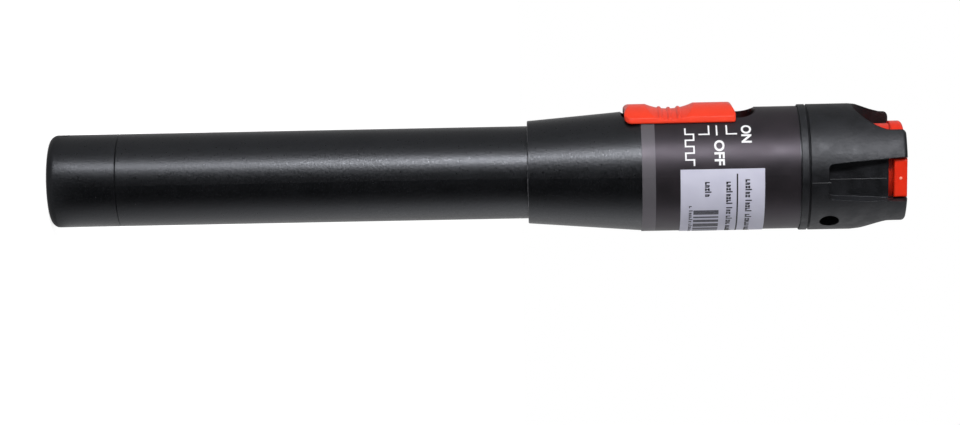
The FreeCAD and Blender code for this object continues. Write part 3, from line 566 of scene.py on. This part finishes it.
def word_mesh(name, text, width, radius, turn, z):
    """Letters of the given width over all, bent round the pen from turn on."""
    curve = bpy.data.curves.new(name + "_curve", "FONT")
    curve.body = text
    curve.size = 1.0
    curve.offset = 0.03
    curve.extrude = 0.5
    curve.resolution_u = 4
    holder = bpy.data.objects.new(name + "_curve", curve)
    flat = bpy.data.meshes.new_from_object(holder)
    bpy.data.objects.remove(holder)
    bpy.data.curves.remove(curve)
    work = bmesh.new()
    work.from_mesh(flat)
    bpy.data.meshes.remove(flat)
    xs = [v.co.x for v in work.verts]
    ys = [v.co.y for v in work.verts]
    wide, tall = max(xs) - min(xs), max(ys) - min(ys)
    for vertex in work.verts:
        vertex.co.x = (vertex.co.x - min(xs)) / wide * width
        vertex.co.y = (vertex.co.y - min(ys)) / tall * LETTER_HEIGHT
        vertex.co.z = INK if vertex.co.z > 0 else -INK_SUNK
    for i in range(1, math.ceil(width / STEP_ALONG)):
        bmesh.ops.bisect_plane(work, geom=work.verts[:] + work.edges[:] + work.faces[:],
                               plane_co=(i * STEP_ALONG, 0, 0), plane_no=(1, 0, 0))
    bmesh.ops.remove_doubles(work, verts=work.verts, dist=0.0005 * MM)
    return wrapped(work, name, radius, turn, z)


def add_switch_print(ink):
    """Three positions beside the slider: pulses, OFF and ON, each with its pointer."""
    leg = 2.45 * MM
    dash = 2.6 * MM
    rise = 2.1 * MM
    half = STROKE / 2
    across = (0, leg, -half, half)
    marks = (("mark_middle", [(0, dash, -half, half)], 0),
             ("mark_low", [across, (leg - STROKE, leg, -rise, -half)], -1.6 * MM),
             ("mark_high", [across, (leg - STROKE, leg, half, rise)], 2.0 * MM))
    for name, bars, up in marks:
        mesh = bars_mesh(name, bars, FILM_R, MARKS_TURN, MARKS_MIDDLE + up)
        add_piece(name, mesh, "casing", ink)
    words = (("word_off", "OFF", 5.3 * MM, -34.5, -0.65 * MM),
             ("word_on", "ON", 4.3 * MM, -51.0, 4.9 * MM))
    for name, text, width, turn, up in words:
        mesh = word_mesh(name, text, width, FILM_R, turn, MARKS_MIDDLE + up)
        add_piece(name, mesh, "casing", ink)
    add_piece("mark_pulses", pulses_mesh("mark_pulses"), "casing", ink)


def pulses_mesh(name):
    """Square wave, the plain sign for a light that flashes."""
    width, tall, count = 8.4 * MM, 2.0 * MM, 3
    turn, below = -48.5, 6.55 * MM
    step = width / (2 * count)
    last = 2 * count - 1
    bars = []
    for i in range(2 * count):
        left = i * step
        high = tall if i % 2 else STROKE
        right = left + step
        if i < last:
            bars.append((right, right + STROKE, STROKE, tall - STROKE))
            right += STROKE
        bars.append((left, right, high - STROKE, high))
    return bars_mesh(name, bars, FILM_R, turn, MARKS_MIDDLE - below)


def row_of_words(start, end, height, words):
    """Strokes and arches, no letters, set in groups; words gives how many each group has."""
    bars = []
    x = start
    count = 0
    while x < end:
        for i in range(words[count % len(words)]):
            glyph = GLYPHS[GLYPH_ORDER[(i + 3 * count) % len(GLYPH_ORDER)]]
            for left, right, low, high in glyph:
                bars.append((x + left * GLYPH_WIDTH, x + right * GLYPH_WIDTH,
                             low * height, high * height))
            x += GLYPH_PITCH
        x += 0.7 * GLYPH_PITCH
        count += 1
    return bars


def row_of_stripes(start, end, height, widths, gap):
    """Upright stripes whose widths come round in turn."""
    stripes = []
    x = start
    while x < end:
        width = widths[len(stripes) % len(widths)]
        stripes.append((x, x + width, 0, height))
        x += width + gap
    return stripes


def add_label_print():
    """Ruled line, rows of plain strokes and a block of stripes, as a rating label is laid out."""
    edge = -7.0                 # degrees round to the label's near edge
    margin = 1.0 * MM
    reach = 27.0 * MM           # how far round the label its rows run
    black = toner("label_toner", srgb(30, 30, 36), srgb(52, 52, 60))
    grey = toner("label_toner_light", srgb(66, 66, 76), srgb(98, 98, 110))
    rows = (
        ("label_rule", black, 11.3 * MM, [(margin, reach, 0, 0.28 * MM)]),
        ("label_title", black, 13.05 * MM,
         row_of_words(2.2 * MM, reach, 1.3 * MM, (6, 5, 7))),
        ("label_values", black, 9.2 * MM,
         row_of_words(2.6 * MM, reach, 1.25 * MM, (8, 3, 5))),
        ("label_entry", black, 4.9 * MM,
         row_of_words(2.6 * MM, 5.2 * MM, 1.3 * MM, (5,))),
        ("label_small_row", grey, 1.7 * MM,
         row_of_words(7.9 * MM, reach, 0.75 * MM, (1, 6, 6))),
        ("label_stripes", grey, 2.6 * MM,
         row_of_stripes(9.1 * MM, reach, 5.1 * MM,
                        (1.2 * MM, 0.45 * MM, 0.85 * MM, 1.5 * MM), 0.62 * MM)),
    )
    for name, ink, up, bars in rows:
        mesh = bars_mesh(name, bars, LABEL_R, edge, label_low.z + up)
        add_piece(name, mesh, "casing", ink)


# ---------------------------------------------------------------- fine trim
def ring_of(work, centre, side, up, radius, count):
    """Circle of vertices about centre, in the plane of side and up."""
    ring = []
    for i in range(count):
        turn = 2 * math.pi * i / count
        ring.append(work.verts.new(centre + side * (radius * math.cos(turn))
                                   + up * (radius * math.sin(turn))))
    return ring


def join_rings(work, rings, closed):
    count = len(rings[0])
    pairs = list(zip(rings, rings[1:]))
    if closed:
        pairs.append((rings[-1], rings[0]))
    for before, after in pairs:
        for k in range(count):
            work.faces.new((before[k], before[(k + 1) % count], after[(k + 1) % count], after[k]))
    if not closed:
        work.faces.new(list(reversed(rings[0])))
        work.faces.new(rings[-1])


def finished(work, name, smooth=True):
    bmesh.ops.recalc_face_normals(work, faces=work.faces)
    for face in work.faces:
        face.smooth = smooth
    mesh = bpy.data.meshes.new(name)
    work.to_mesh(mesh)
    work.free()
    return mesh


def coil_mesh(name):
    """Round wire of the conical tail spring."""
    wire = 0.4 * MM
    base_r, top_r, turns, steps = 6.3 * MM, 3.2 * MM, 4.5, 36
    low, high = spring_low.z + wire, spring_high.z - wire
    work = bmesh.new()
    rings = []
    count = round(turns * steps)
    for i in range(count + 1):
        share = i / count
        turn = 2 * math.pi * turns * share
        radius = base_r + (top_r - base_r) * share
        out = Vector((math.cos(turn), math.sin(turn), 0))
        centre = out * radius + Vector((0, 0, low + (high - low) * share))
        rings.append(ring_of(work, centre, out, Vector((0, 0, 1)), wire, 12))
    join_rings(work, rings, closed=False)
    return finished(work, name)


def seal_mesh(name):
    """O-ring of round section in the tail cap's groove."""
    section = 0.4 * MM
    middle_r = ring_high.x - section
    middle_z = (ring_low.z + ring_high.z) / 2
    work = bmesh.new()
    rings = []
    for i in range(96):
        out = outward(360 * i / 96)
        centre = out * middle_r + Vector((0, 0, middle_z))
        rings.append(ring_of(work, centre, out, Vector((0, 0, 1)), section, 14))
    join_rings(work, rings, closed=True)
    return finished(work, name)


def thread_mesh(name):
    """Fine helical ridge round the cap's plug, within the play that it has in the tube."""
    proud, sunk, half, steps = 0.04 * MM, 0.02 * MM, 0.3 * MM, 72
    runout = 1.3 * MM           # plain plug between the O-ring and the first turn
    lead_in = 0.5 * MM
    low, high = ring_high.z + runout, tail_high.z - lead_in
    turns = (high - low) / THREAD_PITCH
    count = round(turns * steps)
    work = bmesh.new()
    rings = []
    for i in range(count + 1):
        out = outward(360 * turns * i / count)
        z = low + (high - low) * i / count
        fade = min(1.0, i / steps, (count - i) / steps)
        crest = PLUG_R - sunk + (sunk + proud) * fade
        root = PLUG_R - 2 * sunk
        rings.append([work.verts.new(out * r + Vector((0, 0, z + dz))) for r, dz in
                      ((root, -half), (crest, 0), (root, half))])
    join_rings(work, rings, closed=False)
    return finished(work, name, smooth=False)


def add_tail_trim(steel, rubber):
    spring = add_piece("tail_spring_coil", coil_mesh("tail_spring_coil"), "tail_thread", steel)
    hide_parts("tail_spring")
    seal = add_piece("tail_seal", seal_mesh("tail_seal"), "tail_cap", rubber)
    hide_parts("tail_cap_o_ring")
    bare = worked_metal("bare_thread", srgb(104, 104, 108), srgb(150, 150, 154), 0.28, 0.44)
    add_piece("tail_plug_thread", thread_mesh("tail_plug_thread"), "tail_cap", bare)


def flash_mesh(name, radius, side, low, high):
    """Low uneven ridge that two halves of a mould leave, along Z on one side of the head."""
    out = outward(HEAD_TURN + side)
    across = outward(HEAD_TURN + side + 90)
    half, proud, sunk = 0.07 * MM, 0.05 * MM, 0.03 * MM
    steps = 60
    work = bmesh.new()
    rings = []
    for i in range(steps + 1):
        z = low + (high - low) * i / steps
        uneven = 0.55 + 0.45 * math.sin(2.3 * i) * math.sin(0.7 * i + 1)
        corners = ((radius - sunk, -half), (radius + proud * uneven, -half / 3),
                   (radius + proud * uneven, half / 3), (radius - sunk, half))
        rings.append([work.verts.new(out * r + across * a + Vector((0, 0, z)))
                      for r, a in corners])
    join_rings(work, rings, closed=False)
    return finished(work, name, smooth=False)


def gate_mesh(name, side):
    """Rough nub where the plastic entered the mould, on the face of one cap wing."""
    out = outward(HEAD_TURN + side)
    across = outward(HEAD_TURN + side + 90)
    middle = Vector((0, 0, cap_high.z - CAP_RIM / 2))
    work = bmesh.new()
    rings = []
    for reach, radius in ((-0.05, 0.34), (0.05, 0.32), (0.09, 0.2), (0.07, 0.08)):
        centre = out * (CAP_REACH + reach * MM) + middle
        rings.append(ring_of(work, centre, across, Vector((0, 0, 1)), radius * MM, 14))
    join_rings(work, rings, closed=False)
    return finished(work, name)


def add_mould_marks():
    """Flash on both sides of the head, in its pockets and below them, and the cap's gates, all
    painted pale: a painted highlight along each flash ridge and a painted glint on each gate.
    """
    # The flash ridges are real; their pale grey is a painted highlight along them.
    flash_highlight = moulded("mould_flash_highlight", srgb(70, 71, 74), srgb(112, 113, 116), 0.4, 0.6, 0.3)
    # The gate nubs are real; their pale pink is a painted glint on them.
    gate_glint = moulded("mould_gate_glint", srgb(250, 120, 96), srgb(255, 170, 150), 0.35, 0.5, 0.2)
    pocket_low = head_high.z - 15.6 * MM
    pocket_high = head_high.z - 4.2 * MM
    collar_high = head_low.z + 8.7 * MM
    for where, side in (("front", 0), ("back", 180)):
        name = "pocket_flash_" + where
        mesh = flash_mesh(name, POCKET_FLOOR, side, pocket_low, pocket_high)
        add_piece(name, mesh, "casing", flash_highlight)
        name = "side_flash_" + where
        mesh = flash_mesh(name, head_high.x, side, collar_high, pocket_low)
        add_piece(name, mesh, "casing", flash_highlight)
        name = "cap_gate_" + where
        add_piece(name, gate_mesh(name, side), "dust_cap", gate_glint)


# ---------------------------------------------------------------- light, floor, camera
def add_camera():
    side = outward(CAMERA_AROUND)
    image_up = outward(CAMERA_AROUND - 90)
    data = bpy.data.cameras.new("camera")
    data.lens = CAMERA_LENS
    data.sensor_width = CAMERA_SENSOR
    data.clip_start = 0.01
    camera = bpy.data.objects.new("camera", data)
    bpy.context.scene.collection.objects.link(camera)
    place = Vector((0, 0, CAMERA_HEIGHT)) + side * CAMERA_AWAY
    aim = Vector((0, 0, AIM_HEIGHT)) - image_up * AIM_ASIDE
    forward = (aim - place).normalized()
    across = (Vector((0, 0, 1)) - forward * forward.z).normalized()
    above = (-forward).cross(across)
    roll = math.radians(CAMERA_ROLL)
    right = across * math.cos(roll) - above * math.sin(roll)
    up = across * math.sin(roll) + above * math.cos(roll)
    camera.matrix_world = matrix_of(right, up, -forward, place)
    bpy.context.scene.camera = camera


def matrix_of(x_axis, y_axis, z_axis, place):
    columns = [x_axis.to_4d(), y_axis.to_4d(), z_axis.to_4d(), place.to_4d()]
    for column in columns[:3]:
        column.w = 0
    return Matrix(columns).transposed()


def add_softbox(name, around, up, away, wide, tall, power):
    """Area light that faces the pen, tall along Z."""
    data = bpy.data.lights.new(name, "AREA")
    data.shape = "RECTANGLE"
    data.size = wide
    data.size_y = tall
    data.energy = power
    light = bpy.data.objects.new(name, data)
    bpy.context.scene.collection.objects.link(light)
    back = outward(around, up)
    light.location = Vector((0, 0, LIGHT_TARGET)) + back * away
    light.rotation_euler = back.to_track_quat("Z", "Y").to_euler()


def room_light(tree, direction, sides):
    """How bright the unseen room is in one direction: dark where the camera stands, dim
    above the pen and brighter below it."""
    total = 0.0
    for around, start, full, bright in sides:
        facing = vector_math(tree, "DOT_PRODUCT", direction, outward(CAMERA_AROUND + around))
        side = mapped(tree, facing.outputs["Value"], start, full, 0, bright)
        total = arithmetic(tree, "ADD", total, side)
    return total


def mirrored_ray(tree, rays):
    """1 on rays that a surface mirrors or lets through, and 0 on the others."""
    return arithmetic(tree, "MAXIMUM", rays.outputs["Is Glossy Ray"],
                      rays.outputs["Is Transmission Ray"])


def add_world():
    """White where the camera looks, and the dim room where the pen mirrors it."""
    world = bpy.data.worlds.new("studio")
    world.use_nodes = True
    bpy.context.scene.world = world
    tree = world.node_tree
    rays = tree.nodes.new("ShaderNodeLightPath")
    view = tree.nodes.new("ShaderNodeTexCoord").outputs["Generated"]
    room = room_light(tree, view, ROOM_SIDES)
    unseen = between(tree, mirrored_ray(tree, rays), ROOM_ON_MATT, room)
    strength = between(tree, rays.outputs["Is Camera Ray"], unseen, 1.0)
    background = tree.nodes["Background"]
    background.inputs["Color"].default_value = (1, 1, 1, 1)
    feed(tree, background.inputs["Strength"], strength)


def lit_floor(tree, rays):
    """Matt grey, lifted to white for the camera; it keeps the pen's shadow."""
    matt = new_node(tree, "ShaderNodeBsdfDiffuse", Color=FLOOR_GREY)
    lift = arithmetic(tree, "MULTIPLY", rays.outputs["Is Camera Ray"], FLOOR_LIFT)
    glow = new_node(tree, "ShaderNodeEmission", Strength=lift)
    both = tree.nodes.new("ShaderNodeAddShader")
    tree.links.new(matt.outputs["BSDF"], both.inputs[0])
    tree.links.new(glow.outputs["Emission"], both.inputs[1])
    return both.outputs["Shader"]


def mirrored_floor(tree):
    """The dim room as the floor shows it to the pen, with the key light's streak."""
    place = tree.nodes.new("ShaderNodeTexCoord").outputs["Object"]
    around = vector_math(tree, "NORMALIZE", place).outputs["Vector"]
    distance = vector_math(tree, "LENGTH", place).outputs["Value"]
    foot = mapped(tree, distance, FOOT_FAR, FOOT_NEAR, 0, 1)
    room = room_light(tree, around, ROOM_SIDES + (KEY_ON_FLOOR,))
    strength = between(tree, foot, room, FOOT_GLOW)
    return new_node(tree, "ShaderNodeEmission", Strength=strength).outputs["Emission"]


def floor_material():
    material = bpy.data.materials.new("floor")
    material.use_nodes = True
    tree = material.node_tree
    tree.nodes.clear()
    rays = tree.nodes.new("ShaderNodeLightPath")
    both = new_node(tree, "ShaderNodeMixShader", Fac=mirrored_ray(tree, rays))
    tree.links.new(lit_floor(tree, rays), both.inputs[1])
    tree.links.new(mirrored_floor(tree), both.inputs[2])
    new_node(tree, "ShaderNodeOutputMaterial", Surface=both.outputs["Shader"])
    return material


def add_floor():
    work = bmesh.new()
    bmesh.ops.create_circle(work, cap_ends=True, segments=96, radius=FLOOR_RADIUS)
    mesh = bpy.data.meshes.new("floor")
    work.to_mesh(mesh)
    work.free()
    mesh.materials.append(floor_material())
    floor = bpy.data.objects.new("floor", mesh)
    bpy.context.scene.collection.objects.link(floor)


# ---------------------------------------------------------------- the scene
def main():
    made = paint_nodes()
    add_switch_print(white_ink())
    add_label_print()
    add_tail_trim(made["spring_steel"], made["seal_rubber"])
    add_mould_marks()
    add_softbox("key", *KEY_LIGHT)
    add_softbox("low_side", *LOW_SIDE_LIGHT)
    add_world()
    add_floor()
    add_camera()
    bpy.context.scene.view_settings.view_transform = "Standard"


main()
